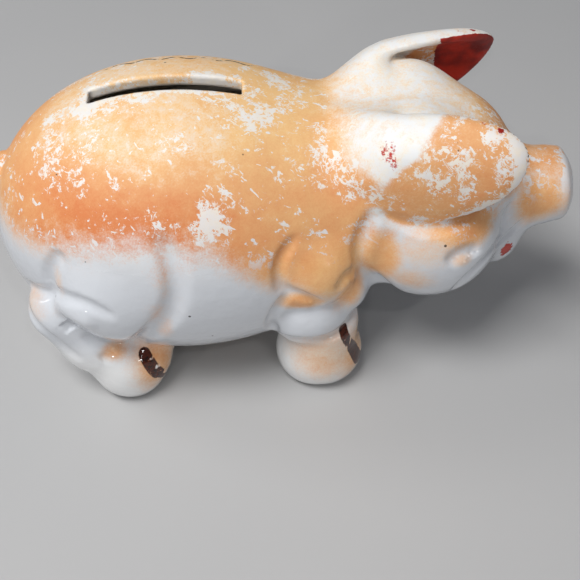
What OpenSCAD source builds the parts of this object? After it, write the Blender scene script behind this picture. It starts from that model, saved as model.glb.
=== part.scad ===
// Standing pig money box: a hollow slip-cast body with a coin slot in the back,
// two luted-on ears, a luted-on curled tail, and a cork in the hole under the belly.
// The pig stands on z = 0 and faces +X. Its left and right sides mirror in y = 0.

/* [Body] */
// Length from rump to snout
body_l = 140; // [115:1:175]
// Width across the haunches
body_w = 71.5; // [59:0.5:86]
// Height from the soles to the tips of the ears
body_h = 77; // [64:0.5:93]
// Thickness of the cast wall
wall = 3; // [2.4:0.1:3.8]

/* [Coin slot] */
// Length of the coin slot
slot_l = 34.5; // [28:0.5:42]
// Width of the coin slot
slot_w = 5; // [4.2:0.1:6.5]
// Distance from the middle of the body back to the middle of the slot
slot_back = 26.5; // [22:0.5:32]

/* [Stopper] */
// Diameter of the hole under the belly
hole_d = 25; // [20:0.5:30]
// Distance from the middle of the body back to the hole
hole_back = 17; // [14:0.5:21]
// Gap between cork and hole, measured on the radius
cork_gap = 0.05; // [0.02:0.01:0.08]
// Length of the cork
cork_l = 15; // [12.5:0.5:18]
// Height of the cork's lower end above the table
cork_lift = 5; // [4:0.5:6]

/* [Ears and tail] */
// Length of each ear from its root line to its tip
ear_l = 34.8; // [29:0.2:42]
// Half width of each ear
ear_half_w = 13.3; // [11:0.1:16]
// Half thickness in the middle of each ear
ear_half_t = 1.9; // [1.6:0.1:2.3]
// Radius of the tail's cord
tail_r = 1.9; // [1.6:0.1:2.3]

/* [Mesh] */
// Grid step of the outer skin
skin_step = 4.2; // [3.6:0.1:5]
// Grid step of the hollow inside
hollow_step = 5.4; // [4.5:0.1:6.5]

/* [Hidden] */

// The forms below are laid out for this size and stretched to the size set above
FORM_L = 140;
FORM_W = 71.5;
FORM_H = 77;
STRETCH = [body_l / FORM_L, body_w / FORM_W, body_h / FORM_H];
LEAST = min(STRETCH);
// Moves the layout so that rump tail and snout are the same distance from x = 0
MID_X = 1.6;
// Box that holds the whole form, ears left out
FORM_LO = [-75, -40, -4];
FORM_HI = [75, 40, 84];
// Box that holds one ear
EAR_LO = [5, -7, 36];
EAR_HI = [57, 33, 84];

// Eggs: centre, half axes, tilt about Y, width of the blend with what came before
BELLY = [[-28, 0, 40.2], [42.6, 34.7, 34.5], 0, 4];
CHEST = [[-18, 0, 40.8], [47.5, 31.2, 31.2], 0, 8];
CRANIUM = [[34, 0, 49.5], [19.5, 20.5, 20.3], 24, 8];
CHEEK = [[32, 12, 40.5], [17.5, 15, 16.5], 10, 4];
CHIN = [[54, 0, 29.5], [5.5, 8, 4.5], -25, 4];
HAUNCH = [[-40, 22, 36.5], [15.8, 13.7, 16], 0, 4];
SHOULDER = [[4.5, 20.5, 39.5], [11, 11, 12.5], 30, 4];
FORELEG = [[3.5, 20, 25.5], [11, 10.5, 11], 0, 4];
// Tapers: first end, last end, first radius, last radius, width of the blend
NECK = [[4, 0, 43], [22, 0, 46], 23.5, 23, 8];
NAPE = [[18, 9, 59], [27, 11, 62], 11, 9, 8];
JAW = [[38, 4, 34.5], [51, 5, 32.5], 11.2, 7.8, 5];
SNOUT = [[42, 0, 43.5], [60.4, 0, 43.8], 13.6, 9.3, 5];
HOCK = [[-55, 21.5, 27], [-49, 21, 16.5], 8.4, 8.4, 4];
SHIN = [[-49, 21, 16.5], [-42, 21.5, 10.5], 8.4, 9, 4];
HIND_FOOT = [[-41, 21.5, 7], [-39.5, 21.5, 10], 9.4, 9.2, 4];
FORE_FOOT = [[5.5, 18.5, 7], [8, 18.5, 7], 9.6, 9.6, 3];
PASTERN = [[6.5, 19.5, 9], [7.5, 20, 19], 9.5, 8.7, 3];

// Ear: middle of its root, direction to its tip, and the way its outer side faces
EAR_ROOT = [17, 17, 65];
EAR_DIR = [33, 6, 5];
EAR_FACE = [-0.3, 0.7, 0.66];
// Where the ear is widest, and the radius of its rounded rim
EAR_WIDEST = 10;
EAR_RIM = 2.6;
// Cup of the ear: rise in the middle, and how fast each direction falls away
EAR_RISE = 3.3;
EAR_FALL_LONG = 0.0049;
EAR_FALL_WIDE = 0.045;
EAR_TILT = 0.3;
EAR_DIVE = 0.035;
// Depth to which the ear's root goes into the head before it is trimmed
EAR_SINK = 8;

// Tail: height of its curl on the rump, radius of the curl at its root and its tip
TAIL_Z = 50;
CURL_ROOT = 5.6;
CURL_TIP = 2.1;
// Share of the cord's radius that its middle line stands off the rump
TAIL_PROUD = 0.55;
// How much thinner the tail's tip is than its root
TAIL_TAPER = 0.5;
// Shares of the tail's length over which the root dives into the rump and the tip rounds off
TAIL_DIVE = 0.12;
TAIL_TIP = 0.06;
TAIL_RINGS = 30;
TAIL_SIDES = 10;

// Small hole that opens the hollow to the outside before the true cuts are made
PILOT_D = 6;
PILOT_SIDES = 4;
// Facets round the true cut and the cork
ROUND = 96;
// Shares of the height up to which the belly is cut, and from which the slot is cut
BELLY_CUT = 1 / 3;
SLOT_CUT = 0.7;
CORK_CHAMFER = 0.8;
// How deep a filled notch counts as inside, in grid steps, and how often to look for more
FILL_DEPTH = 0.1;
FILL_PASSES = 3;

// ---- distances: negative inside, positive outside ----

// Smooth union of two distances over a width k
function blend(a, b, k) = let (h = max(k - abs(a - b), 0) / k) min(a, b) - h * h * k / 4;

// Distance to an egg with centre c, half axes r and tilt t about Y
function egg(p, c, r, t) =
    let (
        d = p - c,
        q = [d.x * cos(t) - d.z * sin(t), d.y, d.x * sin(t) + d.z * cos(t)],
        a = [q.x / r.x, q.y / r.y, q.z / r.z],
        k = norm(a)
    )
    k * (k - 1) / max(norm([a.x / r.x, a.y / r.y, a.z / r.z]), 0.000001);

// Distance to a taper with round ends at a and b of radii ra and rb
function taper(p, a, b, ra, rb) =
    let (
        ba = b - a,
        len = norm(ba),
        dir = ba / len,
        slope = (ra - rb) / len,
        run = sqrt(1 - slope * slope),
        along = (p - a) * dir,
        out = norm(p - a - along * dir),
        foot = along + out * slope / run
    )
    foot <= 0 ? norm(p - a) - ra
    : foot >= len ? norm(p - b) - rb
    : (out + along * slope / run) * run - ra;

function add_egg(d, p, e) = blend(d, egg(p, e[0], e[1], e[2]), e[3]);
function add_taper(d, p, t) = blend(d, taper(p, t[0], t[1], t[2], t[3]), t[4]);

// Adds each egg or taper of a list in turn
function add_eggs(d, p, list, i = 0) =
    i == len(list) ? d : add_eggs(add_egg(d, p, list[i]), p, list, i + 1);
function add_tapers(d, p, list, i = 0) =
    i == len(list) ? d : add_tapers(add_taper(d, p, list[i]), p, list, i + 1);

// Body, head and legs of the layout, without the ears
function form(p) =
    let (
        q = [p.x, abs(p.y), p.z],
        trunk = add_eggs(egg(q, BELLY[0], BELLY[1], 0), q, [CHEST]),
        head = add_egg(add_taper(trunk, q, NECK), q, CRANIUM),
        cheek = add_taper(egg(q, CHEEK[0], CHEEK[1], CHEEK[2]), q, JAW),
        face = add_taper(blend(add_taper(head, q, NAPE), cheek, CHEEK[3]), q, SNOUT),
        hind = add_tapers(add_eggs(face, q, [CHIN, HAUNCH]), q, [HOCK, SHIN, HIND_FOOT])
    )
    add_tapers(add_eggs(hind, q, [SHOULDER, FORELEG]), q, [FORE_FOOT, PASTERN]);

// From the real frame to the layout and back
function to_form(p) =
    [p.x / STRETCH.x - MID_X, p.y / STRETCH.y, p.z / STRETCH.z];
function from_form(p) =
    [(p.x + MID_X) * STRETCH.x, p.y * STRETCH.y, p.z * STRETCH.z];

// Outside of the casting, and the hollow a wall further in
skin_at = function (p) form(to_form(p)) * LEAST;
hollow_at = function (p) max(form(to_form(p)) * LEAST + wall, wall - p.z);

// Frame of the ear: along, up across, and out of its outer side
EAR_U = EAR_DIR / norm(EAR_DIR);
EAR_OUT = EAR_FACE - EAR_U * (EAR_U * EAR_FACE);
EAR_W = EAR_OUT / norm(EAR_OUT);
EAR_V = cross(EAR_U, EAR_W);
EAR_FRONT = ear_l - EAR_WIDEST;

// One ear of the layout: a cupped leaf, half an ellipse in outline
ear_at = function (p)
    let (
        d = to_form(p) - EAR_ROOT,
        u = d * EAR_U,
        v = d * EAR_V,
        w = d * EAR_W,
        reach = (u - EAR_WIDEST) / (u > EAR_WIDEST ? EAR_FRONT : 2.4 * EAR_FRONT),
        rad = norm([reach, v / ear_half_w]),
        root = max(EAR_WIDEST - 2 - u, 0),
        cup = EAR_FALL_LONG * pow(u - EAR_WIDEST + 2, 2) + EAR_FALL_WIDE * v * v,
        mid = EAR_RISE - cup + EAR_TILT * v - EAR_DIVE * root * root,
        half_t = ear_half_t * (0.6 + 0.4 * max(min(1 - rad, 1), 0)),
        leaf = -blend(-(rad - 1) * ear_half_w * 0.9, half_t - abs(w - mid) * 0.8, EAR_RIM)
    )
    -blend(-leaf, u + EAR_SINK, 2 * EAR_RIM);

// ---- closed mesh of a distance ----

// Where the surface crosses the edge from grid point a to b, as a list of 0 or 1 points
function crossing(a, b, va, vb) = (va < 0) == (vb < 0) ? [] : [a + (b - a) * va / (va - vb)];

function sum(list, i = 0, total = [0, 0, 0]) =
    i == len(list) ? total : sum(list, i + 1, total + list[i]);

// One step towards the surface of f along its slope at p, no longer than reach
function settle(f, p, reach) =
    let (
        e = reach / 2,
        g = [
            f(p + [e, 0, 0]) - f(p - [e, 0, 0]),
            f(p + [0, e, 0]) - f(p - [0, e, 0]),
            f(p + [0, 0, e]) - f(p - [0, 0, e])
        ] / (2 * e),
        move = g * f(p) / max(g * g, 0.25)
    )
    p - move * min(1, reach / max(norm(move), 0.000001));

// True where o lies outside in the notch of a square whose other diagonal is inside
function notch(val, o, a, b) = val[o + a] < 0 && val[o + b] < 0 && val[o + a + b] >= 0;
function in_notch(val, o, a, b) =
    notch(val, o, a, b) || notch(val, o, a, -b) || notch(val, o, -a, b) || notch(val, o, -a, -b);

// Fills such notches, so that no two sheets of the mesh share an edge
function filled(val, go, step, passes) =
    passes == 0 ? val
    : filled(
        [
            for (o = [0:len(val) - 1])
                val[o] < 0 || val[o] > 2 * step ? val[o]
                : in_notch(val, o, go.x, go.y) || in_notch(val, o, go.y, go.z)
                    || in_notch(val, o, go.x, go.z) ? -step * FILL_DEPTH
                : val[o]
        ],
        go, step, passes - 1
    );

// The twelve edges of a grid cell, as pairs of corners numbered x + 2y + 4z
CELL_EDGES = [
    for (bit = [1, 2, 4]) for (c = [0:7]) if (floor(c / bit) % 2 == 0) [c, c + bit]
];

// Puts one vertex in each grid cell that f crosses, and a quad round each crossed edge
module meshed(f, lo, hi, step) {
    n = [for (a = [0:2]) ceil((hi[a] - lo[a]) / step)];
    nx = n.x + 1;
    nxy = nx * (n.y + 1);
    at = [
        for (k = [0:n.z]) for (j = [0:n.y]) for (i = [0:n.x]) lo + step * [i, j, k]
    ];
    val = filled([for (p = at) f(p)], [1, nx, nxy], step, FILL_PASSES);
    corner = [for (c = [0:7]) c % 2 + nx * (floor(c / 2) % 2) + nxy * floor(c / 4)];
    cells = [
        for (k = [0:n.z - 1]) for (j = [0:n.y - 1]) for (i = [0:n.x - 1])
            let (
                o = i + nx * j + nxy * k,
                inside = len([for (c = corner) if (val[o + c] < 0) 1])
            )
            if (inside > 0 && inside < 8) o
    ];
    points = [
        for (o = cells)
            let (
                hits = [
                    for (e = CELL_EDGES)
                        let (a = o + corner[e[0]], b = o + corner[e[1]])
                        each crossing(at[a], at[b], val[a], val[b])
                ]
            )
            settle(f, sum(hits) / len(hits), step / 4)
    ];
    number = numbering(cells, len(at));
    // Crossed edges that leave grid point o along each axis, with the four cells around them
    faces = [
        for (axis = [[1, nx, nxy], [nx, nxy, 1], [nxy, 1, nx]])
            for (o = [0:len(at) - 1 - axis[0]])
                let (a = val[o] < 0, b = val[o + axis[0]] < 0)
                if (a != b)
                    let (
                        q = [
                            number[o - axis[1] - axis[2]],
                            number[o - axis[2]],
                            number[o],
                            number[o - axis[1]]
                        ]
                    )
                    each a ? [[q[0], q[2], q[1]], [q[0], q[3], q[2]]]
                           : [[q[0], q[1], q[2]], [q[0], q[2], q[3]]]
    ];
    polyhedron(points, faces, convexity = 10);
}

// For each grid point, how many cells come before it in the list
function numbering(cells, count) = [
    for (o = 0, next = 0;
         o < count;
         next = next + (cells[next] == o ? 1 : 0), o = o + 1)
        next
];

module skin() {
    meshed(skin_at, from_form(FORM_LO), from_form(FORM_HI), skin_step);
}

module hollow() {
    meshed(hollow_at, from_form(FORM_LO), from_form(FORM_HI), hollow_step);
}

// ---- pieces ----

// Hollow casting, open at the slot and the belly hole, with four flat soles on z = 0
module body_casting() {
    color([0.93, 0.72, 0.55])
    difference() {
        resize([0, 0, 0])
        difference() {
            skin();
            hollow();
            belly_cut(PILOT_D, PILOT_SIDES);
        }
        translate([-body_l, -body_w, -body_h]) cube([2 * body_l, 2 * body_w, body_h]);
        slot_cut();
        belly_cut(hole_d, ROUND);
    }
}

// Straight cut through the belly wall, in the middle of the stopper's hole
module belly_cut(d, sides) {
    reach = body_h * BELLY_CUT;
    translate([-hole_back, 0, -reach]) cylinder(h = 2 * reach, d = d, $fn = sides);
}

// Straight cut through the wall of the back
module slot_cut() {
    translate([-slot_back - slot_l / 2, -slot_w / 2, body_h * SLOT_CUT])
    cube([slot_l, slot_w, body_h]);
}

// Ear on the pig's left, trimmed to the head it is luted to
module left_ear() {
    color([0.95, 0.8, 0.68])
    resize([0, 0, 0])
    difference() {
        meshed(ear_at, from_form(EAR_LO), from_form(EAR_HI), skin_step / 2);
        skin();
    }
}

module right_ear() {
    mirror([0, 1, 0]) left_ear();
}

// How far back the rump lies at a place seen from behind, in the layout
function rump_x(y, z) =
    BELLY[0].x - BELLY[1].x * sqrt(1 - pow(y / BELLY[1].y, 2) - pow((z - BELLY[0].z) / BELLY[1].z, 2));

// Middle line of the tail at a share s of its length: one turn that winds inwards
function tail_at(s) =
    let (
        r = CURL_ROOT + (CURL_TIP - CURL_ROOT) * s,
        y = r * sin(360 * s),
        z = TAIL_Z - r * cos(360 * s),
        dive = 3 * max(1 - s / TAIL_DIVE, 0)
    )
    from_form([rump_x(y, z), y, z]) - [tail_r * (TAIL_PROUD - dive), 0, 0];

// Radius of the tail's cord at a share s of its length
function tail_radius(s) =
    let (tip = max((s - 1) / TAIL_TIP + 1, 0))
    tail_r * (1 - TAIL_TAPER * s) * sqrt(max(1 - tip * tip, 0.01));

// Curled cord lying against the rump, trimmed to it
module tail() {
    color([0.93, 0.72, 0.55])
    resize([0, 0, 0])
    difference() {
        cord([for (i = [0:TAIL_RINGS]) tail_at(i / TAIL_RINGS)],
             [for (i = [0:TAIL_RINGS]) tail_radius(i / TAIL_RINGS)], TAIL_SIDES);
        skin();
    }
}

// Round cord through the points of path, closed by a flat cap at each end
module cord(path, radii, sides) {
    last = len(path) - 1;
    rings = [
        for (i = [0:last])
            let (
                t = path[min(i + 1, last)] - path[max(i - 1, 0)],
                a = cross(t, [1, 0, 0]),
                n = a / norm(a),
                b = cross(t, n) / norm(t)
            )
            for (j = [0:sides - 1])
                let (turn = 360 * j / sides)
                path[i] + radii[i] * (n * cos(turn) + b * sin(turn))
    ];
    walls = [
        for (i = [0:last - 1]) for (j = [0:sides - 1])
            let (a = i * sides + j, b = i * sides + (j + 1) % sides)
            each [[a, b + sides, b], [a, a + sides, b + sides]]
    ];
    caps = [
        [for (j = [0:sides - 1]) j],
        [for (j = [sides - 1:-1:0]) last * sides + j]
    ];
    polyhedron(rings, concat(walls, caps), convexity = 6);
}

// Cork that closes the hole, chamfered at both ends
module cork_stopper() {
    r = hole_d / 2 - cork_gap;
    color([0.72, 0.52, 0.34])
    translate([-hole_back, 0, cork_lift])
    rotate_extrude($fn = ROUND)
    polygon([
        [0, 0],
        [r - CORK_CHAMFER, 0],
        [r, CORK_CHAMFER],
        [r, cork_l - CORK_CHAMFER],
        [r - CORK_CHAMFER, cork_l],
        [0, cork_l]
    ]);
}

body_casting();
left_ear();
right_ear();
tail();
cork_stopper();
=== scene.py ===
import math

import bpy
import numpy as np
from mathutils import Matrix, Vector


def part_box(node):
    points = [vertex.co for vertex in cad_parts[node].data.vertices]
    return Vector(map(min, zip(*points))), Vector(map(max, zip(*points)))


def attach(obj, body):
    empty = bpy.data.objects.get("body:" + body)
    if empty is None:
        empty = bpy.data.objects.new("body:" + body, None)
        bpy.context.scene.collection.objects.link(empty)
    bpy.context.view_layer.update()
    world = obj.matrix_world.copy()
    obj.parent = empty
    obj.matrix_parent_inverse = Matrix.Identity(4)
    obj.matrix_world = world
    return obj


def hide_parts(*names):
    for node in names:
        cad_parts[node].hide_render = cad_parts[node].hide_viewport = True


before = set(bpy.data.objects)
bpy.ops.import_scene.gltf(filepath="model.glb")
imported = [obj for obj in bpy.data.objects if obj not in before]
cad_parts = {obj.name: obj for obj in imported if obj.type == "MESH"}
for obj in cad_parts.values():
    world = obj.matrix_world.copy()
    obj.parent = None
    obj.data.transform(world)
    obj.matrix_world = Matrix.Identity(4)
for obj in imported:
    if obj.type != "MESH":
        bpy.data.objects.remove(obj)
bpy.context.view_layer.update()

MM = 0.001

# Sizes and places are in millimetres, in the sculpting frame: +X to the snout, +Z up, the floor at z = 0.
# The belly hole ties that frame to the CAD one.
HOLE_X = -18.6
cork_low, cork_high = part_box("cork_stopper")
SHIFT = np.array([(cork_low.x + cork_high.x) / 2 / MM - HOLE_X, 0.0, 0.0])
CORK_R = (cork_high.x - cork_low.x) / 2 / MM
CORK_BOTTOM = cork_low.z / MM
CORK_TOP = cork_high.z / MM

WALL = 3.0
HOLE_R = CORK_R + 0.15
HOLE_TOP = 30.0
SLOT_X = -28.1
SLOT_L = 34.5
SLOT_W = 5.0
SLOT_FLOOR = 40.0
SLOT_CORNER = 0.6
BARREL = (-28, 0, 40.2)
BARREL_RADII = (42.9, 34.7, 34.8)
EYE = (46.5, 15.5, 56.0)
NOSTRIL = (69.0, 3.4, 45.5)
NOSTRIL_R = 1.7

# Where each mesh is sampled: two corners of a box, the grid's step, and the most triangles to keep.
BODY_GRID = ((-73, -38, -2), (71, 38, 79), 0.66, 190000)
EAR_GRID = ((4, 1, 36), (58, 33, 80), 0.5, 40000)
TAIL_GRID = ((-73, -9, 40), (-60, 9, 60), 0.34, 30000)
BLOCK = 4


# ---------------------------------------------------------------- distance fields
def soft_min(a, b, k):
    """The smaller of two distances, blended where they differ by less than k."""
    h = np.maximum(k - np.abs(a - b), 0.0) / k
    return np.minimum(a, b) - h * h * k * 0.25


def soft_max(a, b, k):
    """The larger of two distances, blended where they differ by less than k."""
    return -soft_min(-a, -b, k)


def ramp(value, low, high):
    """0 below low, 1 above high, smooth between them."""
    t = np.clip((value - low) / (high - low), 0.0, 1.0)
    return t * t * (3.0 - 2.0 * t)


def ball(p, centre, radius):
    return np.sqrt(sum((p[i] - centre[i]) ** 2 for i in range(3))) - radius


def egg(p, centre, radii, lean=0.0):
    """An ellipsoid whose top leans towards the rump by this many degrees."""
    x, y, z = (p[i] - centre[i] for i in range(3))
    if lean:
        c, s = math.cos(math.radians(lean)), math.sin(math.radians(lean))
        x, z = c * x - s * z, s * x + c * z
    rx, ry, rz = radii
    far = np.sqrt((x / rx) ** 2 + (y / ry) ** 2 + (z / rz) ** 2)
    slope = np.sqrt((x / rx**2) ** 2 + (y / ry**2) ** 2 + (z / rz**2) ** 2)
    return far * (far - 1.0) / np.maximum(slope, 1e-6)


def taper(p, a, b, ra, rb):
    """A rod with round ends, of radius ra at a and rb at b."""
    axis = [b[i] - a[i] for i in range(3)]
    length2 = sum(v * v for v in axis)
    drop = ra - rb
    lean2 = length2 - drop * drop
    q = [p[i] - a[i] for i in range(3)]
    along = sum(q[i] * axis[i] for i in range(3))
    past = along - length2
    off2 = sum((q[i] * length2 - axis[i] * along) ** 2 for i in range(3))
    root2, tip2 = along * along * length2, past * past * length2
    cone = np.sign(drop) * drop * drop * off2
    side = (np.sqrt(off2 * lean2 / length2) + along * drop) / length2 - ra
    tip = np.sqrt(off2 + tip2) / length2 - rb
    root = np.sqrt(off2 + root2) / length2 - ra
    side = np.where(np.sign(along) * lean2 * root2 < cone, root, side)
    return np.where(np.sign(past) * lean2 * tip2 > cone, tip, side)


def mirrored(p):
    """Places on the near side for both halves, without a kink at the middle plane."""
    return np.stack([p[0], np.sqrt(p[1] ** 2 + 2.0), p[2]])


def trunk(q):
    """The body, head and legs without their creases. q is mirrored to y above 0."""
    belly = egg(q, (-18, 0, 40.8), (47.5, 31.2, 31.2))
    neck = taper(q, (4, 0, 43), (22, 0, 46), 23.5, 23.0)
    head = egg(q, (34, 0, 49.5), (19.5, 20.5, 20.3), 24)
    ear_base = taper(q, (20, 9, 58.5), (28, 11, 62), 10.5, 9)
    jowl = egg(q, (32, 12, 40.5), (17.5, 15, 16.5), 10)
    jowl = soft_min(jowl, taper(q, (38, 4, 34.5), (49, 5, 33), 11.2, 7.8), 5)
    snout = taper(q, (42, 0, 43.5), (61, 0, 43.8), 13.6, 9.8)
    snout = soft_max(snout, q[0] - 69.2 + 0.10 * (q[2] - 44), 3.5)
    chin = egg(q, (51.5, 0, 29.8), (5.5, 8, 4.5), -25)
    haunch = egg(q, (-40, 22, 36.5), (15.8, 13.7, 16))
    shank = taper(q, (-55, 21.5, 27), (-49, 21, 16.5), 8.4, 8.4)
    hock = taper(q, (-49, 21, 16.5), (-42, 21.5, 10.5), 8.4, 9)
    hind_foot = taper(q, (-41, 21.5, 7), (-39.5, 21.5, 10), 9.4, 9.2)
    shoulder = egg(q, (4.5, 20.5, 39.5), (11, 11, 12.5), 30)
    forearm = egg(q, (3.5, 20, 25.5), (11, 10.5, 11))
    elbow = egg(q, (13, 18, 31), (5.5, 8.3, 7.5))
    front_foot = taper(q, (5.5, 18.5, 7), (8, 18.5, 7), 9.6, 9.6)
    front_foot = soft_min(front_foot, taper(q, (6.5, 19.5, 9), (7.5, 20, 19), 9.5, 8.7), 2)
    d = egg(q, BARREL, BARREL_RADII)
    for form, blend in (
        (belly, 8), (neck, 8), (head, 8), (ear_base, 8), (jowl, 2), (snout, 5), (chin, 3),
        (haunch, 1.5), (shank, 2), (hock, 3), (hind_foot, 3),
        (shoulder, 2.5), (forearm, 1.2), (elbow, 2), (front_foot, 1.2),
    ):
        d = soft_min(d, form, blend)
    return d


def unit(v):
    return v / np.linalg.norm(v)


# The ear is a leaf: its root's place, and its directions along, out of and across its face.
EAR_ROOT = np.array([17.0, 17.0, 64.95])
EAR_ALONG = unit(np.array([33.0, 6.0, 5.0]))
EAR_OUT = np.array([-0.30, 0.70, 0.66])
EAR_OUT = unit(EAR_OUT - EAR_ALONG * (EAR_OUT @ EAR_ALONG))
EAR_ACROSS = np.cross(EAR_ALONG, EAR_OUT)
EAR_THICK = 1.9
# The leaf's widest place along it, its reach to the tip and to the root, and its half widths.
EAR_WIDEST = 10
EAR_TO_TIP = 24.8
EAR_TO_ROOT = 60
EAR_UPPER = 10.4
EAR_LOWER = 13.3


def ear_places(q):
    """Places along the ear, across it (above 0 towards the middle) and out from it."""
    r = [q[i] - EAR_ROOT[i] for i in range(3)]
    return [sum(r[i] * axis[i] for i in range(3)) for axis in (EAR_ALONG, EAR_ACROSS, EAR_OUT)]


def ear_rim(u, v, upper=EAR_LOWER):
    """1 at the leaf's rim and less inside it, for this half width on the side towards the middle."""
    reach = (u - EAR_WIDEST) / np.where(u > EAR_WIDEST, EAR_TO_TIP, EAR_TO_ROOT)
    return np.hypot(reach, v / np.where(v > 0, upper, EAR_LOWER))


def ear_cup(u, v):
    """How far out the middle of the leaf's clay lies."""
    cup = 3.3 - 0.0049 * (u - 8) ** 2 - 0.045 * v * v + 0.30 * v
    return cup - 0.035 * np.maximum(8 - u, 0) ** 2


def ear(q):
    """A cupped leaf of clay, thinner towards its rim."""
    u, v, w = ear_places(q)
    rim = ear_rim(u, v, EAR_UPPER)
    face = np.abs(w - ear_cup(u, v)) * 0.8 - EAR_THICK * (0.6 + 0.4 * np.clip(1 - rim, 0, 1))
    leaf = soft_max((rim - 1) * 12, face, 2.6)
    return soft_max(leaf, -u - 8, 6)


def rump_x(y, z):
    """Where the rump's skin is, behind a place on the tail."""
    inside = 1 - (y / BARREL_RADII[1]) ** 2 - ((z - BARREL[2]) / BARREL_RADII[2]) ** 2
    return BARREL[0] - BARREL_RADII[0] * np.sqrt(np.maximum(inside, 0.05))


TAIL_R = 1.9
TAIL_BEADS = 60
TAIL_AT = (-69, 0, 50)
TAIL_REACH = 11.0


def tail_beads():
    """Centres and radii of the rolled coil: one inward turn flat on the rump."""
    s = np.linspace(0, 1, TAIL_BEADS)
    turn = 5.6 - 3.5 * s
    y = turn * np.sin(2 * math.pi * s)
    z = TAIL_AT[2] - turn * np.cos(2 * math.pi * s)
    dive = np.clip(1 - s / 0.12, 0, 1)
    x = rump_x(y, z) - TAIL_R * (0.22 - 0.8 * dive)
    tip = np.sqrt(np.clip((1 - s) / 0.06, 0.1, 1))
    return np.stack([x, y, z]), TAIL_R * (1 - 0.5 * s) * tip


TAIL_CENTRES, TAIL_RADII = tail_beads()


def tail(p):
    """The coil, measured only near it. Farther off it's the distance to a ball round it."""
    d = ball(p, TAIL_AT, TAIL_REACH)
    near = d < 1.5
    close = p[:, near]
    if close.shape[1]:
        best = np.full(close.shape[1], 1e3)
        for i in range(TAIL_BEADS):
            gap = close - TAIL_CENTRES[:, i : i + 1]
            best = soft_min(best, np.sqrt((gap**2).sum(0)) - TAIL_RADII[i], 0.4)
        d[near] = best
    return np.where(near, d, np.maximum(d, 1.5))


# ---------------------------------------------------------------- creases
def curve(points, spacing=1.0):
    """A smooth line through given points, as (3, n) places about spacing apart."""
    pts = [np.array(p, float) for p in points]
    pts = [2 * pts[0] - pts[1]] + pts + [2 * pts[-1] - pts[-2]]
    out = []
    for a, b, c, d in zip(pts, pts[1:], pts[2:], pts[3:]):
        count = max(2, int(np.linalg.norm(c - b) / spacing))
        for t in np.arange(count) / count:
            bend = 2 * a - 5 * b + 4 * c - d + t * (3 * (b - c) + d - a)
            out.append(b + 0.5 * t * (c - a + t * bend))
    out.append(pts[-2])
    return np.array(out).T


def slope_of(field, p, e=0.04):
    """The gradient by four samples at the corners of a tetrahedron."""
    total = 0.0
    for corner in ((1, 1, 1), (1, -1, -1), (-1, 1, -1), (-1, -1, 1)):
        k = np.array(corner, float)[:, None]
        total = total + k * field(p + k * e)
    return total / (4 * e)


def settle(field, p, rounds=3):
    """Moves places straight onto the surface of a field."""
    for _ in range(rounds):
        g = slope_of(field, p)
        p = p - g * field(p) / np.maximum((g * g).sum(0), 1e-6)
    return p


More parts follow.
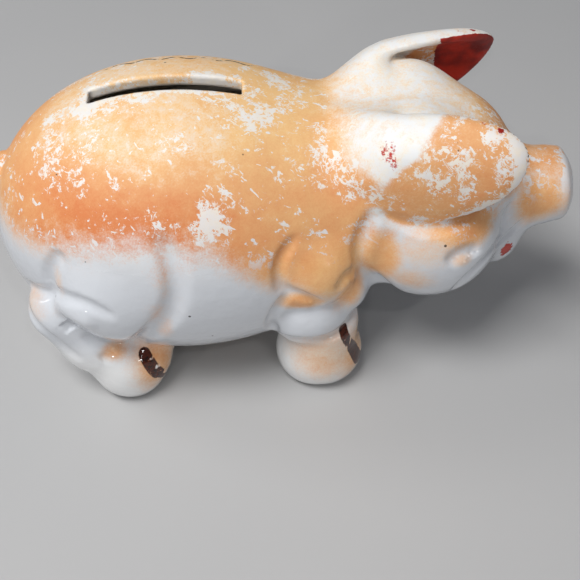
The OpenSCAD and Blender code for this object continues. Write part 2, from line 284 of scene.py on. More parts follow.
# Depth, half width, and points on the near side; the far side mirrors them. A depth below 0 is a ridge.
CREASES = {
    "thigh_front": (3.3, 2.1, [
        (-30, 30, 59), (-27, 33, 52), (-26.5, 35, 44), (-29, 35, 36), (-34.5, 33, 27.5),
        (-38.5, 28, 20),
    ]),
    "thigh_under": (1.5, 1.5, [
        (-36, 31, 24), (-38.5, 28, 20), (-42, 27.5, 19.5), (-46.5, 28.5, 22), (-50.5, 29, 25.5),
    ]),
    "thigh_dimple": (1.4, 1.8, [
        (-51.5, 29.5, 27), (-53.5, 29.5, 30),
    ]),
    "thigh_fold": (2.3, 1.3, [
        (-63, 15, 31), (-60, 23.5, 34), (-54, 28.5, 38), (-48, 33.5, 40), (-43, 35.5, 38.5),
        (-39.5, 35.5, 36.5),
    ]),
    "thigh_roll": (-1.1, 2.6, [
        (-56, 26, 33), (-50, 31, 35), (-44, 34, 33.5),
    ]),
    "rump_crease": (1.9, 1.6, [
        (-51, 27.5, 50.5), (-53.7, 27.2, 46.5), (-55.1, 26.8, 43.5), (-55.8, 26.6, 40),
        (-55, 27.5, 36.5),
    ]),
    "hock": (0.9, 1.5, [
        (-62, 20, 29), (-58.5, 27, 26.5), (-54, 28.5, 19.5), (-50, 28.5, 16),
    ]),
    "hind_foot": (1.0, 1.4, [
        (-47, 30, 16.5), (-43, 28.5, 18.5),
    ]),
    "shoulder": (2.6, 1.25, [
        (1.5, 27, 54), (-2, 29.5, 50), (-3.5, 30.5, 46.5), (-3.2, 31, 41.5), (-1, 31, 39),
        (1.5, 31, 38), (4.7, 31, 35.5), (5.8, 29.5, 31.5),
    ]),
    "forearm_back": (2.4, 1.15, [
        (-0.5, 31, 39.5), (-4, 30.5, 34), (-5.5, 29, 27.5), (-4.5, 25, 20),
    ]),
    "forearm_under": (1.8, 1.2, [
        (-5, 24, 19), (-1.5, 28, 20.5), (3, 29.5, 21.5), (9.5, 28, 21.5), (14, 23.5, 23),
        (16, 19, 25),
    ]),
    "elbow": (2.0, 1.3, [
        (9.5, 30, 38), (12, 28.5, 41.5), (15, 25.5, 40),
    ]),
    "jowl": (2.8, 1.7, [
        (19, 21, 57), (16.5, 23, 52), (15, 25, 46), (15.5, 25, 40.5), (18.5, 22.5, 34.5),
        (23.5, 20, 29.5), (30, 16, 26.5),
    ]),
    "mouth": (2.2, 1.0, [
        (53, 10.5, 50), (50.5, 13.5, 45), (50, 14.5, 40.5), (46.5, 20, 40.5), (42.5, 23, 38.5),
        (39.5, 24, 35), (37.5, 22, 29.5),
    ]),
    "lip": (1.6, 0.85, [
        (56.5, 10, 43), (54, 11, 39.5), (50.5, 13, 37.5), (47, 17.5, 37), (44, 20, 34),
    ]),
    "cheek": (1.9, 1.5, [
        (34.5, 25.5, 42), (37.5, 26, 44.5), (41, 24.5, 44.5), (41.5, 24.5, 42),
    ]),
    "brow": (1.0, 2.0, [
        (44, 15.5, 57), (48.5, 13.5, 55), (53, 11, 52),
    ]),
    "ear_under": (2.6, 1.5, [
        (18, 24, 55.5), (20.9, 24, 54.2), (27, 24.8, 52.2), (33, 24, 51.5), (38, 22.5, 52.5),
        (43, 19.5, 54.5), (47.5, 16, 57),
    ]),
    "snout_rim": (-0.5, 1.5, [
        (65.8, 0.1, 54), (66, 6.5, 51.5), (66.6, 9.8, 44), (67, 6.5, 36.5), (67, 0.1, 34),
    ]),
    "snout_neck": (0.8, 3.2, [
        (58.5, 0.1, 57), (59, 9, 52.5), (60, 12.5, 44), (60.5, 9, 36),
    ]),
}


def carved(d, q):
    """d with the creases pressed into it. q is mirrored."""
    for depth, width, line in CREASE_LINES:
        low, high = line.min(1) - 3 * width, line.max(1) + 3 * width
        near = ((q > low[:, None]) & (q < high[:, None])).all(0)
        if not near.any():
            continue
        close = q[:, near]
        gap2 = np.full(close.shape[1], 1e6)
        along = np.zeros(close.shape[1])
        count = line.shape[1]
        for i in range(count - 1):
            a, step = line[:, i : i + 1], line[:, i + 1 : i + 2] - line[:, i : i + 1]
            t = np.clip(((close - a) * step).sum(0) / (step * step).sum(), 0, 1)
            here = ((close - a - step * t) ** 2).sum(0)
            closer = here < gap2
            gap2 = np.where(closer, here, gap2)
            along = np.where(closer, (i + t) / (count - 1), along)
        fade = ramp(along, 0.0, 0.22) * ramp(1 - along, 0.0, 0.22)
        d[near] += depth * fade * np.exp(-gap2 / width**2)
    return d


CREASE_LINES = [(depth, width, settle(trunk, curve(points))) for depth, width, points in CREASES.values()]


def sculpt(p):
    """The whole outer skin, and the trunk under it without its creases, ears and tail."""
    q = mirrored(p)
    plain = trunk(q)
    body = carved(plain.copy(), q)
    body = soft_max(body, -ball(q, NOSTRIL, NOSTRIL_R), 0.8)
    eyelid = egg(q, (EYE[0] - 1.2, EYE[1] - 1.2, EYE[2] - 0.8), (3.6, 2.4, 2.4))
    body = soft_min(body, eyelid, 1.0)
    u, v, _ = ear_places(q)
    skin = soft_min(body, ear(q), 1.4 + 5.0 * ramp(u, 12, 2) * ramp(v, -11, -4))
    return soft_min(skin, tail(p), 1.2), plain


def shell(p):
    """The casting's skin, hollow, coin slot, belly hole and flat soles."""
    skin, plain = sculpt(p)
    d = soft_max(skin, -(plain + WALL), 0.8)
    x, y, z = p
    over = np.abs(x - SLOT_X) - SLOT_L / 2 + SLOT_CORNER
    side = np.abs(y) - SLOT_W / 2 + SLOT_CORNER
    slot = np.hypot(np.maximum(over, 0), np.maximum(side, 0)) + np.minimum(np.maximum(over, side), 0)
    slot = slot - SLOT_CORNER
    d = soft_max(d, -np.maximum(slot, SLOT_FLOOR - z), 0.9)
    hole = np.hypot(x - HOLE_X, y) - HOLE_R
    d = soft_max(d, -np.maximum(hole, z - HOLE_TOP), 1.0)
    return soft_max(d, -z, 1.0)


def body_seam(p):
    """Above 0 where an ear or the tail is nearer than the trunk."""
    q = mirrored(p)
    return trunk(q) - np.minimum(ear(q), tail(p))


def outer_skin(p):
    return sculpt(p)[0]


def ear_seam(p):
    """Above 0 where the trunk is nearer than the ear."""
    q = mirrored(p)
    return ear(q) - trunk(q)


def tail_seam(p):
    """Above 0 where the trunk is nearer than the tail."""
    return tail(p) - trunk(mirrored(p))


# ---------------------------------------------------------------- meshes from the fields
def in_chunks(field, p, size=150000):
    """The field at many places, a part of them at a time to save memory."""
    return np.concatenate([field(p[:, i : i + size]) for i in range(0, p.shape[1], size)])


def slope_in_chunks(field, p):
    return slope_of(lambda x: in_chunks(field, x), p)


def sampled(field, low, high, step):
    """The field on a grid, worked out only in blocks near its surface."""
    low = np.array(low, float)
    blocks = np.ceil((np.array(high) - low) / (step * BLOCK)).astype(int) + 1
    at = np.stack(np.meshgrid(*[np.arange(n) for n in blocks], indexing="ij")).reshape(3, -1)
    centre = low[:, None] + (at * BLOCK + (BLOCK - 1) / 2) * step
    rough = in_chunks(field, centre)
    near = np.abs(rough) < 0.95 * BLOCK * step + 1.2
    values = rough.reshape(blocks)
    for axis in range(3):
        values = np.repeat(values, BLOCK, axis)
    offsets = np.stack(np.meshgrid(*[np.arange(BLOCK)] * 3, indexing="ij")).reshape(3, 1, -1)
    grid = (at[:, near] * BLOCK)[:, :, None] + offsets
    grid = grid.reshape(3, -1)
    values[grid[0], grid[1], grid[2]] = in_chunks(field, low[:, None] + grid * step)
    return values, low


CORNERS = np.stack(np.meshgrid([0, 1], [0, 1], [0, 1], indexing="ij")).reshape(3, 8)
PAIRS = [(a, b) for a in range(8) for b in range(a + 1, 8)]
EDGES = [(a, b) for a, b in PAIRS if np.abs(CORNERS[:, a] - CORNERS[:, b]).sum() == 1]


def surface(values, low, step):
    """Surface nets: one vertex in each cell that the surface crosses, one face over each crossed edge."""
    inside = values < 0
    shape = np.array(values.shape) - 1
    count = sum(
        inside[c[0] : c[0] + shape[0], c[1] : c[1] + shape[1], c[2] : c[2] + shape[2]].astype(np.int8)
        for c in CORNERS.T
    )
    cells = np.stack(np.nonzero((count > 0) & (count < 8)))
    corner = [values[tuple(cells + CORNERS[:, i : i + 1])] for i in range(8)]
    total, hits = np.zeros(cells.shape), np.zeros(cells.shape[1])
    for a, b in EDGES:
        va, vb = corner[a], corner[b]
        crossed = (va < 0) != (vb < 0)
        t = np.where(crossed, va / np.where(crossed, va - vb, 1), 0)
        place = CORNERS[:, a : a + 1] + t * (CORNERS[:, b] - CORNERS[:, a])[:, None]
        total += np.where(crossed, place, 0)
        hits += crossed
    points = low[:, None] + (cells + total / hits) * step
    index = np.full(values.shape, -1)
    index[tuple(cells)] = np.arange(cells.shape[1])
    faces = []
    for axis in range(3):
        u, v = (axis + 1) % 3, (axis + 2) % 3
        ahead = np.roll(inside, -1, axis)
        edge = np.stack(np.nonzero(inside != ahead))
        edge = edge[:, (edge[axis] < values.shape[axis] - 1) & (edge[u] > 0) & (edge[v] > 0)]
        du, dv = np.eye(3, dtype=int)[:, u : u + 1], np.eye(3, dtype=int)[:, v : v + 1]
        ring = [index[tuple(edge - a * du - b * dv)] for a, b in ((1, 1), (0, 1), (0, 0), (1, 0))]
        quad = np.stack(ring, 1)
        flip = ~inside[tuple(edge)]
        quad[flip] = quad[flip][:, ::-1]
        faces.append(quad)
    return points, np.concatenate(faces)


def project(p, skin, seam, step):
    """Settles vertices on the skin, on the seam, or on both where they meet, and finds their normals."""
    for _ in range(3):
        f, g = in_chunks(skin, p), in_chunks(seam, p)
        df, dg = slope_in_chunks(skin, p), slope_in_chunks(seam, p)
        ff, gg, fg = (df * df).sum(0) + 1e-6, (dg * dg).sum(0) + 1e-6, (df * dg).sum(0)
        to_skin, to_seam = df * (f / ff), dg * (g / gg)
        det = np.maximum(ff * gg - fg * fg, 0.05)
        both = df * ((f * gg - g * fg) / det) + dg * ((g * ff - f * fg) / det)
        corner = (np.abs(f) < 0.8 * step) & (np.abs(g) < 0.8 * step)
        move = np.where(f / np.sqrt(ff) >= g / np.sqrt(gg), to_skin, to_seam)
        move = np.where(corner, both, move)
        length = np.sqrt((move * move).sum(0))
        p = p - move * np.minimum(1, step / np.maximum(length, 1e-9))
    on_skin = np.abs(in_chunks(skin, p)) < 0.3 * step
    normal = np.where(on_skin, slope_in_chunks(skin, p), slope_in_chunks(seam, p))
    return p, normal / np.maximum(np.sqrt((normal * normal).sum(0)), 1e-9)


def mesh_of(name, points, faces):
    """A new piece from places in the sculpting frame."""
    mesh = bpy.data.meshes.new(name)
    mesh.from_pydata(((points.T + SHIFT) * MM).tolist(), [], faces.tolist())
    mesh.validate()
    obj = bpy.data.objects.new(name, mesh)
    bpy.context.scene.collection.objects.link(obj)
    return obj


def places(obj):
    """Vertex places in the sculpting frame."""
    flat = np.zeros(3 * len(obj.data.vertices))
    obj.data.vertices.foreach_get("co", flat)
    return flat.reshape(-1, 3).T / MM - SHIFT[:, None]


def thinned(obj, most):
    """The same shape in at most this many triangles, as a new mesh on the object."""
    faces = 2 * len(obj.data.polygons)
    if faces <= most:
        return
    thin = obj.modifiers.new("thin", "DECIMATE")
    thin.ratio = most / faces
    bpy.context.view_layer.update()
    final = bpy.data.meshes.new_from_object(obj.evaluated_get(bpy.context.evaluated_depsgraph_get()))
    obj.modifiers.clear()
    obj.data = final


def finished(obj, skin, seam, step):
    """Puts the vertices exactly on the field and takes the shading normals from it."""
    p, normal = project(places(obj), skin, seam, step)
    obj.data.vertices.foreach_set("co", ((p.T + SHIFT) * MM).ravel())
    obj.data.polygons.foreach_set("use_smooth", [True] * len(obj.data.polygons))
    obj.data.update()
    obj.data.normals_split_custom_set_from_vertices(normal.T.tolist())
    return p


def clay(name, skin, seam, low, high, step, most):
    """A painted piece: the part of the skin's inside that lies on this piece's side of its seam."""

    def piece(p):
        return np.maximum(skin(p), seam(p))

    points, faces = surface(*sampled(piece, low, high, step), step)
    obj = mesh_of(name, points, faces)
    thinned(obj, most)
    paint(obj, finished(obj, skin, seam, step))
    return obj


# ---------------------------------------------------------------- painted areas
# Places of soft airbrushed patches on the near side: centre, radius, strength. The far side mirrors them.
BLUSH_SPOTS = [
    ((1.5, 30, 47), (4.5, 6, 6.5), 1.0),
    ((2, 30.5, 35.5), (6, 6, 2.8), 0.9),
    ((13, 27, 36), (4.5, 7, 6), 0.9),
    ((9, 26, 14), (10, 12, 8), 0.6),
    ((14, 22, 12), (5, 8, 9), 0.8),
    ((-34, 27, 12), (6, 8, 8), 0.8),
    ((-43.5, 28.5, 18), (3.5, 4, 2.2), 0.7),
    ((-28, 33.5, 50), (3.2, 6, 10), 0.45),
    ((-30.5, 34, 33), (2.6, 5, 7), 0.45),
    ((-53, 27.5, 42), (1.5, 3, 4), 0.5),
    ((-60, 23, 30.5), (5, 6, 3.0), 0.45),
    ((19.5, 24, 43), (5, 7, 7.5), 1.0),
    ((27, 25, 38), (6, 6, 4), 0.5),
    ((40, 22, 50), (12, 8, 4.5), 1.0),
    ((30, 25, 46), (8, 6, 5), 0.5),
    ((38.5, 25.5, 42.5), (2.5, 4, 1.6), 0.5),
    ((59, 9, 47), (6.5, 8, 6.5), 1.0),
    ((60, 2, 53), (8, 8, 4), 0.75),
]
# Bare white areas worn through the paint.
BARE_SPOTS = [
    ((7, 16, 66), (3, 4, 2.5), 0.7),
    ((7, 19, 62.5), (3, 4, 2.5), 0.7),
    ((-19, 29, 59.5), (3.5, 4, 3.5), 0.5),
    ((29, 24.5, 66), (4.5, 5, 2.5), 0.5),
    ((34.5, 24.5, 68.5), (4, 4, 2), 0.4),
    ((21, 20, 69), (3, 5, 3), 0.5),
    ((-50, 14, 67), (6, 8, 3), 0.3),
    ((-45, 3, 74), (8, 6, 5), 0.35),
    ((-4, 3, 71), (5, 6, 4), 0.4),
]
# Red paint away from the inner ear: centre, radius, level. A level near 0 leaves broken dashes.
RED_MARKS = [
    ((52.6, 12.6, 33.2), (1.6, 2.2, 1.9), 0.1),
    ((20.4, 20.5, 70.6), (2.0, 3.5, 2.6), -0.36),
    ((21.4, 21.8, 68.4), (1.0, 3, 1.6), -0.26),
    ((40.5, 18.2, 76.4), (0.9, 0.9, 0.8), -0.02),
    ((44.2, 19.9, 75.5), (1.0, 0.9, 0.8), 0.05),
]
# Brown strokes on the hoofs: their ends (x, z) and half width. Then chips in them: centre and radius.
HOOF_STROKES = [
    ((11.8, 21.6), (16.5, 6.9), 1.0),
    ((-36.4, 16.6), (-33.4, 9.4), 1.3),
    ((-33.6, 9.5), (-32.4, 6.2), 0.6),
]
HOOF_CHIPS = [((-35.1, 28.2, 14.4), 0.5), ((-33.9, 28.2, 11.9), 0.65)]
# Where the airbrushed colour stops on the flank: places along the body, and the heights there.
FLANK_X = (-70, -55, -44, -33, -20, -12, -6, 0, 8, 14)
FLANK_Z = (48, 50, 54, 56, 54, 49, 43, 41, 36, 34)


def spots(q, table):
    """The strongest of a table's soft round patches at each place."""
    total = np.zeros(q.shape[1])
    for centre, radius, strength in table:
        far = sum(((q[i] - centre[i]) / radius[i]) ** 2 for i in range(3))
        total = np.maximum(total, strength * np.exp(-0.7 * far**1.5))
    return total


def blush_amount(p, q):
    """How thick the airbrushed colour lies, from 0 to 1."""
    x, _, z = q
    flank = ramp(z - np.interp(x, FLANK_X, FLANK_Z), -9, 9)
    flank = flank * (1.10 - ramp(z, 60, 72) * (0.15 + 0.25 * ramp(x, -6, -20)))
    flank = flank * (1 - 0.8 * ramp(x, 14, 18) * ramp(58 - z, 0, 3))
    leaf = ear(q)
    u, v, _ = ear_places(q)
    hood = ramp(x, 3, 15) * ramp(z + 0.35 * (x - 12), 60, 70)
    on_ear = 1 - ramp(leaf, 0.3, 1.4)
    turned = u - np.where(v > 0, 0.55, 1.1) * v - 1.8 * ramp(v, -3, 1)
    tip = 0.95 * ramp(turned, 7.3, 11.7) * (1 - 0.8 * ramp(p[1], -2, 2) * ramp(z, 70, 74))
    forehead = (0.30 + 0.55 * ramp(x, 32, 47)) * ramp(z, 46, 54)
    plain = trunk(q)
    dip = (carved(plain.copy(), q) - plain) * ramp(leaf, 1.5, 4.0)
    amount = flank * (1 - 0.66 * hood)
    amount = np.where(x > 22, np.maximum(amount * 0.25, forehead), amount)
    amount = amount * (1 - on_ear) + on_ear * np.maximum(0.10, tip)
    amount = np.maximum(amount, spots(q, BLUSH_SPOTS) * (1 - on_ear))
    return amount * (1 - 0.75 * ramp(dip, 0.8, 2.1)) + 0.1 * ramp(-dip, 0.1, 0.6)


def paint(obj, p):
    """Writes the painted areas on a piece's vertices, for the materials to read."""
    q = mirrored(p)
    x, y, z = q
    blush = blush_amount(p, q)
    u, v, w = ear_places(q)
    rim = ear_rim(u, v)
    leaf = ear(q)
    on_ear = 1 - ramp(leaf, 0.3, 1.4)

    warmth = ramp(z, 73, 59) * (0.48 + 0.42 * ramp(x, 0, -28) * ramp(x, -66, -50))
    warmth = warmth * (1 - 0.55 * ramp(z, 54, 44))
    warmth = np.maximum(warmth, spots(q, BLUSH_SPOTS) * 0.45)
    warmth = np.maximum(warmth, on_ear * 0.5)

    ear_wear = 0.22 * ramp(u, 10, 22)
    ear_wear = ear_wear + 0.4 * ramp(u, 23, 31) * ramp(rim, 0.68, 0.95)
    low_rim = ramp(rim - 0.06 * ramp(v, 2, -4), 0.80, 0.92)
    ear_wear = ear_wear + 0.6 * low_rim * ramp(u, 2, 9) * ramp(v, 6, 0)
    bare = spots(q, BARE_SPOTS) + on_ear * ear_wear
    bare = bare + 0.9 * ramp(x, 62.5, 66.0)
    slot_gap = np.maximum(np.abs(p[0] - SLOT_X) - SLOT_L / 2, np.abs(y) - SLOT_W / 2)
    bare = bare + 0.45 * ramp(3.0 - slot_gap, 0.0, 2.4) * ramp(slot_gap, -0.4, 0.2) * ramp(z, 60, 66)
    blush = np.maximum(blush, 0.8 * ramp(slot_gap, 0.4, -0.1) * ramp(z, 60, 66))

    inner = ear_cup(u, v) - w
    red = np.minimum(np.minimum(inner * 3, u - 19.5), (0.99 - rim) * 12)
    red = np.where(leaf < 1.0, red, -4)
    for centre, radius, level in RED_MARKS:
        far = np.sqrt(sum(((q[i] - centre[i]) / radius[i]) ** 2 for i in range(3)))
        red = np.maximum(red, np.where(far < 1.6, level + 1.0 * np.minimum(1 - far, 0.3), -4))

    strokes = np.max([stroke(q, start, end, half_width) for start, end, half_width in HOOF_STROKES], 0)
    chips = np.max([-ball(q, centre, radius) for centre, radius in HOOF_CHIPS], 0)
    hoof = np.minimum(strokes, -chips)
    blush = blush * ramp(chips, 0.3, -0.3)
    iris = 1.35 - ball(q, (EYE[0] + 1.0, EYE[1] + 1.0, EYE[2] + 0.6), 0)
    hollow = ramp(-(trunk(q) + WALL) + 1.2, 0.0, 0.8)
    for name, value in (
        ("blush", blush), ("warmth", warmth), ("bare", bare), ("red", red),
        ("hoof", hoof), ("iris", iris), ("hollow", hollow),
    ):
        layer = obj.data.attributes.get(name) or obj.data.attributes.new(name, "FLOAT", "POINT")
        layer.data.foreach_set("value", np.ascontiguousarray(value, np.float32))


def stroke(q, a, b, half_width):
    """Above 0 inside a brush stroke between two places (x, z) on the outer side of a leg."""
    side = np.stack([q[0], 0 * q[1], q[2]])
    inside = half_width - taper(side, (a[0], 0, a[1]), (b[0], 0, b[1]), 0.01, 0.011)
    return np.where(q[1] > 17, inside, -4)


# ---------------------------------------------------------------- materials
class Nodes:
    """Adds linked shader nodes to one new material. Lengths in its textures are in millimetres."""

    def __init__(self, name):
        self.material = bpy.data.materials.new(name)
        self.material.use_nodes = True
        self.tree = self.material.node_tree
        self.tree.nodes.clear()

    def add(self, kind, inputs=(), **settings):
        made = self.tree.nodes.new(kind)
        for key, value in settings.items():
            setattr(made, key, value)
        for key, value in dict(inputs).items():
            if isinstance(value, bpy.types.NodeSocket):
                self.tree.links.new(value, made.inputs[key])
            else:
                made.inputs[key].default_value = value
        return made

    def math(self, operation, a, b=0.0, c=0.0, clamp=False):
        return self.add("ShaderNodeMath", {0: a, 1: b, 2: c}, operation=operation, use_clamp=clamp).outputs[0]

    def stirred(self, value, noise, amount, clamp=False):
        """A value raised and lowered by a noise that lies round 0.5."""
        return self.math("MULTIPLY_ADD", self.math("SUBTRACT", noise, 0.5), amount, value, clamp)

    def ramp(self, value, low, high):
        """0 below low, 1 above high, smooth between them."""
        return self.add(
            "ShaderNodeMapRange",
            {"Value": value, "From Min": low, "From Max": high},
            interpolation_type="SMOOTHSTEP",
        ).outputs[0]

    def mix(self, factor, a, b):
        made = self.add("ShaderNodeMix", {0: factor, 6: a, 7: b}, data_type="RGBA")
        return made.outputs[2]

    def noise(self, vector, scale, detail=3.0, roughness=0.5, distortion=0.0):
        inputs = {"Vector": vector, "Scale": scale, "Detail": detail, "Roughness": roughness}
        return self.add("ShaderNodeTexNoise", {**inputs, "Distortion": distortion}).outputs["Fac"]

    def attribute(self, name):
        return self.add("ShaderNodeAttribute", attribute_name=name).outputs["Fac"]

    def stretched(self, vector, turn, length, shift=0.0):
        """The places turned and shortened by these lengths, so that noise on them runs in streaks."""
        return self.add(
            "ShaderNodeMapping",
            {"Vector": vector, "Location": (shift, shift, shift), "Rotation": turn, "Scale": length},
            vector_type="TEXTURE",
        ).outputs[0]


def colour(r, g, b):
    """An sRGB colour from 0 to 255 as the linear one that shaders take."""
    return tuple(
        c / 12.92 if c <= 0.04045 else ((c + 0.055) / 1.055) ** 2.4 for c in (r / 255, g / 255, b / 255)
    ) + (1.0,)


def millimetres(n):
    """Places on the piece in millimetres."""
    place = n.add("ShaderNodeTexCoord").outputs["Object"]
    return n.add("ShaderNodeVectorMath", {0: place, 3: 1000.0}, operation="SCALE").outputs[0]


WHITE = colour(240, 240, 239)
# The white glaze greyed as painted shade on the body's sides.
SHADE_GREY_WHITE = colour(217, 220, 225)
CREAM = colour(247, 240, 224)
PEACH = colour(246, 200, 138)
ORANGE = colour(225, 134, 78)
RED = colour(196, 42, 16)
DARK_RED = colour(128, 16, 6)
BROWN = colour(84, 36, 20)
DARK_BROWN = colour(46, 24, 16)
BLACK = colour(24, 19, 17)
BISQUE = colour(222, 214, 202)


def wear(n, mm, bare):
    """Where the cold paint has rubbed off: ragged clusters, bent scuffs, slanting chips and scratches."""
    zone = n.math("MULTIPLY_ADD", bare, 0.30, n.noise(mm, 0.13, 3.0, 0.6))
    ragged = n.noise(mm, 0.62, 7.0, 0.74, 0.3)
    patch = n.ramp(n.math("MULTIPLY_ADD", zone, 0.85, ragged), 1.04, 1.10)
    bent = n.noise(n.stretched(mm, (0.0, 0.9, 0.0), (1.5, 1.0, 1.0)), 0.42, 4.0, 0.55, 0.9)
    worm = n.ramp(n.math("ABSOLUTE", n.math("SUBTRACT", bent, 0.5)), 0.024, 0.012)
    scuffed = n.math("MULTIPLY_ADD", n.noise(mm, 0.55, 2.0), 0.5, zone)
    worm = n.math("MULTIPLY", worm, n.ramp(scuffed, 0.80, 0.86))
    slant = n.stretched(mm, (0.3, 0.75, 0.0), (1.9, 1.0, 0.9))
    chip = n.ramp(n.math("MULTIPLY_ADD", zone, 0.25, n.noise(slant, 0.50, 4.0, 0.58, 0.6)), 0.745, 0.775)
    hair = n.stretched(mm, (0.0, -1.2, 0.3), (6.0, 1.0, 0.8), 40.0)
    scratch = n.ramp(n.noise(hair, 0.8, 2.0, 0.5), 0.735, 0.75)
    return n.math("MAXIMUM", n.math("MAXIMUM", patch, worm), n.math("MAXIMUM", chip, scratch))


def painted_clay(name):
    """White glaze, greyed on the sides as painted shade, with airbrushed peach and orange, red, brown and
    black cold paint, and its wear.
    """
    n = Nodes(name)
    mm = millimetres(n)
    x, y, z = n.add("ShaderNodeSeparateXYZ", {0: mm}).outputs
    bare = n.attribute("bare")
    cloud = n.noise(mm, 0.085, 4.0, 0.55)
    mottle = n.noise(mm, 0.42, 5.0, 0.65)
    grain = n.noise(mm, 2.6, 3.0, 0.6)

    blush = n.attribute("blush")
    uneven = n.stirred(blush, cloud, 0.5)
    rubbed = n.ramp(z, 40.0, 56.0)
    uneven = n.stirred(uneven, mottle, n.math("MULTIPLY_ADD", rubbed, 0.6, 0.3))
    uneven = n.stirred(uneven, grain, n.math("MULTIPLY_ADD", rubbed, 0.4, 0.3))
    cover = n.ramp(uneven, 0.06, 0.94)
    worn = n.math("MULTIPLY", wear(n, mm, bare), n.ramp(z, 44.0, 52.0))
    cover = n.math("MULTIPLY", cover, n.math("SUBTRACT", 1.0, n.math("MULTIPLY", worn, 0.90)))

    warmth = n.stirred(n.attribute("warmth"), cloud, 0.8)
    warmth = n.stirred(warmth, mottle, 0.5)
    warmth = n.stirred(warmth, grain, 0.5, clamp=True)
    tint = n.mix(warmth, PEACH, ORANGE)
    white = n.mix(n.math("MULTIPLY", n.ramp(mottle, 0.35, 0.75), n.ramp(z, 45.0, 60.0)), WHITE, CREAM)
    # Painted shade: the white glaze turns grey on the sides between heights 12 and 62 mm, and the feet and
    # the back stay whiter.
    low = n.math("MULTIPLY", n.ramp(z, 12.0, 24.0), n.ramp(z, 62.0, 42.0))
    white = n.mix(low, white, SHADE_GREY_WHITE)
    base = n.mix(cover, white, tint)

    ragged = n.noise(mm, 1.1, 4.0, 0.6)
    red = n.ramp(n.stirred(n.attribute("red"), ragged, 1.6), -0.12, 0.12)
    base = n.mix(red, base, n.mix(n.ramp(n.noise(mm, 0.2, 2.0), 0.35, 0.7), RED, DARK_RED))
    chip = n.ramp(n.noise(mm, 0.55, 3.0, 0.6), 0.66, 0.69)
    hoof = n.ramp(n.stirred(n.attribute("hoof"), ragged, 0.3), -0.1, 0.1)
    hoof = n.math("MULTIPLY", hoof, n.math("MULTIPLY_ADD", chip, -0.25, 1.0))
    base = n.mix(hoof, base, n.mix(n.ramp(ragged, 0.35, 0.6), DARK_BROWN, BROWN))
    iris = n.ramp(n.attribute("iris"), -0.1, 0.1)
    base = n.mix(iris, base, BLACK)
    ink = scroll(n, mm, x, y, z)
    base = n.mix(ink, base, BLACK)
    specks = n.add("ShaderNodeTexVoronoi", {"Vector": mm, "Scale": 0.11}, feature="F1").outputs["Distance"]
    speck = n.ramp(specks, 0.045, 0.030)
    base = n.mix(n.math("MULTIPLY", speck, 0.85), base, BLACK)
    hollow = n.attribute("hollow")
    base = n.mix(hollow, base, BISQUE)

    high = n.ramp(z, 40.0, 58.0)
    satin = n.math("MULTIPLY", n.math("MULTIPLY_ADD", cover, 0.2, 0.8), high)
    gloss = n.stirred(0.06, mottle, 0.08)
    rough = n.math("MULTIPLY_ADD", satin, 0.62, gloss)
    rough = n.math("MULTIPLY_ADD", hollow, 0.6, rough, clamp=True)

    ripple = n.noise(mm, 0.30, 2.0, 0.5)
    pits = n.noise(mm, 1.6, 2.0, 0.5)
    height = n.math("MULTIPLY_ADD", ripple, 0.30, n.math("MULTIPLY", pits, 0.020))
    height = n.math("MULTIPLY_ADD", satin, 0.022, height)
    height = n.math("MULTIPLY_ADD", n.math("MAXIMUM", red, hoof), 0.03, height)
    bump = n.add("ShaderNodeBump", {"Height": height, "Distance": MM, "Strength": 0.55}).outputs[0]
    shader = n.add(
        "ShaderNodeBsdfPrincipled",
        {"Base Color": base, "Roughness": rough, "Normal": bump, "IOR": 1.55},
    )
    shader.inputs["Specular IOR Level"].default_value = 0.5
    n.add("ShaderNodeOutputMaterial", {"Surface": shader.outputs[0]})
    return n.material


def scroll(n, mm, x, y, z):
    """A worn, plain wavy line painted behind the slot."""
    wave = n.math("SINE", n.math("MULTIPLY", x, 0.95))
    gap = n.math("ABSOLUTE", n.math("SUBTRACT", y, n.math("MULTIPLY_ADD", wave, 0.9, 13.6)))
    line = n.ramp(gap, 0.50, 0.30)
    worn = n.ramp(n.noise(mm, 0.55, 3.0), 0.43, 0.50)
    span = n.math("MULTIPLY", n.ramp(x, -42.0, -40.0), n.ramp(x, -6.0, -8.0))
    return n.math("MULTIPLY", n.math("MULTIPLY", line, worn), n.math("MULTIPLY", span, n.ramp(z, 55.0, 60.0)))


def cork_material():
    """Pressed cork: grains, fine mottle and dark pores."""
    n = Nodes("cork")
    mm = millimetres(n)
    cells = n.add("ShaderNodeTexVoronoi", {"Vector": mm, "Scale": 0.55}, feature="F1").outputs["Distance"]
    fine = n.noise(mm, 1.4, 5.0, 0.65)
    pores = n.ramp(n.noise(mm, 0.7, 3.0, 0.6), 0.63, 0.70)
    base = n.mix(n.math("MULTIPLY", cells, 1.2, clamp=True), colour(176, 128, 82), colour(206, 164, 116))
    base = n.mix(n.math("MULTIPLY", fine, 0.5), base, colour(150, 98, 58))
    base = n.mix(pores, base, colour(74, 44, 26))
    height = n.math("MULTIPLY_ADD", pores, -0.35, n.math("MULTIPLY", fine, 0.18))
    bump = n.add("ShaderNodeBump", {"Height": height, "Distance": MM, "Strength": 0.8}).outputs[0]
    rough = n.math("MULTIPLY_ADD", fine, 0.25, 0.62)
    shader = n.add("ShaderNodeBsdfPrincipled", {"Base Color": base, "Roughness": rough, "Normal": bump})
    n.add("ShaderNodeOutputMaterial", {"Surface": shader.outputs[0]})
    return n.material


def floor_material():
    """A plain pale matt floor."""
    n = Nodes("floor")
    mm = millimetres(n)
    tone = n.noise(mm, 0.01, 2.0)
    base = n.mix(tone, colour(184, 184, 184), colour(192, 191, 190))
    shader = n.add("ShaderNodeBsdfPrincipled", {"Base Color": base, "Roughness": 0.7})
    n.add("ShaderNodeOutputMaterial", {"Surface": shader.outputs[0]})
    return n.material


# ---------------------------------------------------------------- the pieces
# The cork's rounded edge: how far in from its side and from its end. Its side is straight past the last.
CORK_EDGE = [(1.2, 0.0), (0.5, 0.2), (0.15, 0.7)]
CORK_STRAIGHT = 1.2


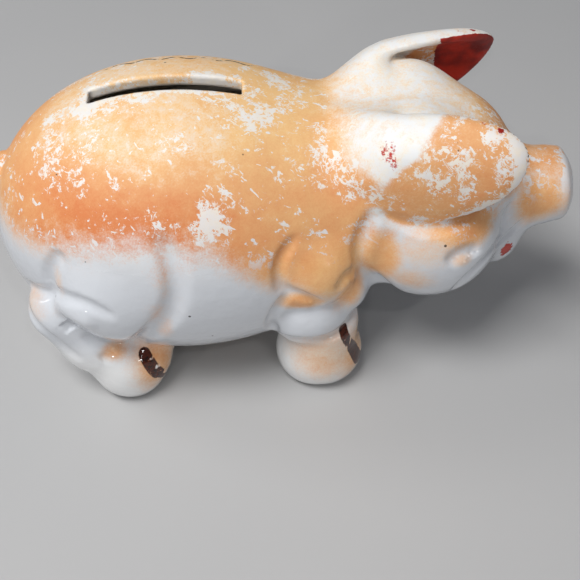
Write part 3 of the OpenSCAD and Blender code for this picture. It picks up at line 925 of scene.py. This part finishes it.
def cork_piece():
    """The stopper: a plug with rounded edges and a slightly uneven side."""
    edge = [(CORK_R - inset, rise) for inset, rise in CORK_EDGE]
    side = np.linspace(CORK_BOTTOM + CORK_STRAIGHT, CORK_TOP - CORK_STRAIGHT, 11)
    rings = [(CORK_R * 0.5, CORK_BOTTOM)] + [(r, CORK_BOTTOM + rise) for r, rise in edge]
    rings += [(CORK_R - 0.02, z) for z in side]
    rings += [(r, CORK_TOP - rise) for r, rise in reversed(edge)] + [(CORK_R * 0.5, CORK_TOP)]
    sides = 96
    angle = np.arange(sides) * 2 * math.pi / sides
    points, faces = [], []
    for r, z in rings:
        ripple = 1 - 0.006 * (0.5 + 0.5 * np.sin(5 * angle + z) * np.sin(11 * angle - 2 * z))
        for a, k in zip(angle, ripple):
            points.append((HOLE_X + r * k * math.cos(a), r * k * math.sin(a), z))
    for i in range(len(rings) - 1):
        for j in range(sides):
            k = (j + 1) % sides
            faces.append((i * sides + j, i * sides + k, (i + 1) * sides + k, (i + 1) * sides + j))
    bottom, top = len(points), len(points) + 1
    points += [(HOLE_X, 0, CORK_BOTTOM), (HOLE_X, 0, CORK_TOP)]
    last = (len(rings) - 1) * sides
    for j in range(sides):
        k = (j + 1) % sides
        faces += [(bottom, k, j), (top, last + j, last + k)]
    mesh = bpy.data.meshes.new("stopper_cork")
    mesh.from_pydata([tuple((np.array(p) + SHIFT) * MM) for p in points], [], faces)
    mesh.polygons.foreach_set("use_smooth", [True] * len(mesh.polygons))
    mesh.set_sharp_from_angle(angle=math.radians(40))
    obj = bpy.data.objects.new("stopper_cork", mesh)
    bpy.context.scene.collection.objects.link(obj)
    return obj


def place(obj, material, slot, body, node):
    """Gives a piece its material, hides its CAD node's part and hangs it under an empty for its body. The
    slot is not used.
    """
    obj.data.materials.clear()
    obj.data.materials.append(material)
    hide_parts(node)
    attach(obj, body)


def flipped(obj, name):
    """A copy on the other side of the middle plane."""
    mesh = obj.data.copy()
    co = np.zeros(len(mesh.vertices) * 3)
    mesh.vertices.foreach_get("co", co)
    co = co.reshape(-1, 3) * (1, -1, 1)
    mesh.vertices.foreach_set("co", co.ravel())
    mesh.flip_normals()
    other = bpy.data.objects.new(name, mesh)
    bpy.context.scene.collection.objects.link(other)
    return other


body = clay("pig_body", shell, body_seam, *BODY_GRID)
far_ear = clay("ear_far", outer_skin, ear_seam, *EAR_GRID)
near_ear = flipped(far_ear, "ear_near")
near_points = places(near_ear)
near_normal = slope_in_chunks(outer_skin, near_points)
near_normal = near_normal / np.linalg.norm(near_normal, axis=0)
near_ear.data.normals_split_custom_set_from_vertices(near_normal.T.tolist())
paint(near_ear, near_points)
curl = clay("tail_coil", outer_skin, tail_seam, *TAIL_GRID)
cork = cork_piece()

place(body, painted_clay("glazed_body"), "glazed_body", "bank", "body_casting")
place(far_ear, painted_clay("glazed_ear_far"), "glazed_ears", "bank", "left_ear")
place(near_ear, painted_clay("glazed_ear_near"), "glazed_ears", "bank", "right_ear")
place(curl, painted_clay("glazed_tail"), "glazed_tail", "bank", "tail")
place(cork, cork_material(), "cork", "stopper", "cork_stopper")


# ---------------------------------------------------------------- floor, light and camera
# What the lamps and the camera look at.
CENTRE = (float(SHIFT[0]), 0.0, 35.0)
TARGET = (float(SHIFT[0]), 0.0, 9.0)
# Azimuth and elevation in degrees, distance, width and height in millimetres, and power in watts.
LAMPS = {
    "overhead": (-44, 64, 900, 420, 300, 6.0),
    "window": (-35, 22, 1100, 50, 80, 0.7),
    "window_right": (28, 14, 1200, 40, 70, 0.5),
    "left_high": (-105, 38, 900, 260, 260, 1.1),
    "spark_left": (-12, 36, 1200, 10, 10, 0.7),
    "spark_right": (16, 50, 1200, 10, 10, 0.6),
}
SKY = (0.86, 0.9, 1.0, 1.0)
SKY_STRENGTH = 0.13
FLOOR_SIZE = 6.0
CAMERA_AZIMUTH = -2
CAMERA_ELEVATION = 45
CAMERA_DISTANCE = 292.6
# The frame's half width, and the camera's distance from a frame of that size.
HALF_FRAME = 290
FRAME_DISTANCE = 1100


def aimed(obj, place_mm, target_mm):
    """Puts a lamp or the camera at a place, looking at another."""
    eye, target = Vector(place_mm) * MM, Vector(target_mm) * MM
    obj.location = eye
    obj.rotation_euler = (target - eye).to_track_quat("-Z", "Y").to_euler()
    bpy.context.scene.collection.objects.link(obj)


def around(azimuth, elevation, distance, target):
    """A place on a sphere round the target. Azimuth 0 is in front of the near side."""
    a, e = math.radians(azimuth), math.radians(elevation)
    return (
        target[0] + distance * math.sin(a) * math.cos(e),
        target[1] - distance * math.cos(a) * math.cos(e),
        target[2] + distance * math.sin(e),
    )


def lamp(name, azimuth, elevation, distance, width, height, power):
    """A soft rectangular lamp that faces the middle of the bank."""
    data = bpy.data.lights.new(name, "AREA")
    data.shape = "RECTANGLE"
    data.size, data.size_y = width * MM, height * MM
    data.energy = power
    aimed(bpy.data.objects.new(name, data), around(azimuth, elevation, distance, CENTRE), CENTRE)


bpy.ops.mesh.primitive_plane_add(size=FLOOR_SIZE, location=(0, 0, 0))
floor = bpy.context.object
floor.name = "floor"
floor.data.materials.append(floor_material())

for name, numbers in LAMPS.items():
    lamp(name, *numbers)
world = bpy.data.worlds.new("studio")
world.use_nodes = True
world.node_tree.nodes["Background"].inputs["Color"].default_value = SKY
world.node_tree.nodes["Background"].inputs["Strength"].default_value = SKY_STRENGTH
bpy.context.scene.world = world
bpy.context.scene.view_settings.view_transform = "Standard"

camera_data = bpy.data.cameras.new("camera")
camera_data.sensor_fit = "HORIZONTAL"
camera_data.sensor_width = 36.0
camera_data.angle = 2 * math.atan(HALF_FRAME / FRAME_DISTANCE)
camera_data.clip_start = 0.01
camera = bpy.data.objects.new("camera", camera_data)
aimed(camera, around(CAMERA_AZIMUTH, CAMERA_ELEVATION, CAMERA_DISTANCE, TARGET), TARGET)
bpy.context.scene.camera = camera
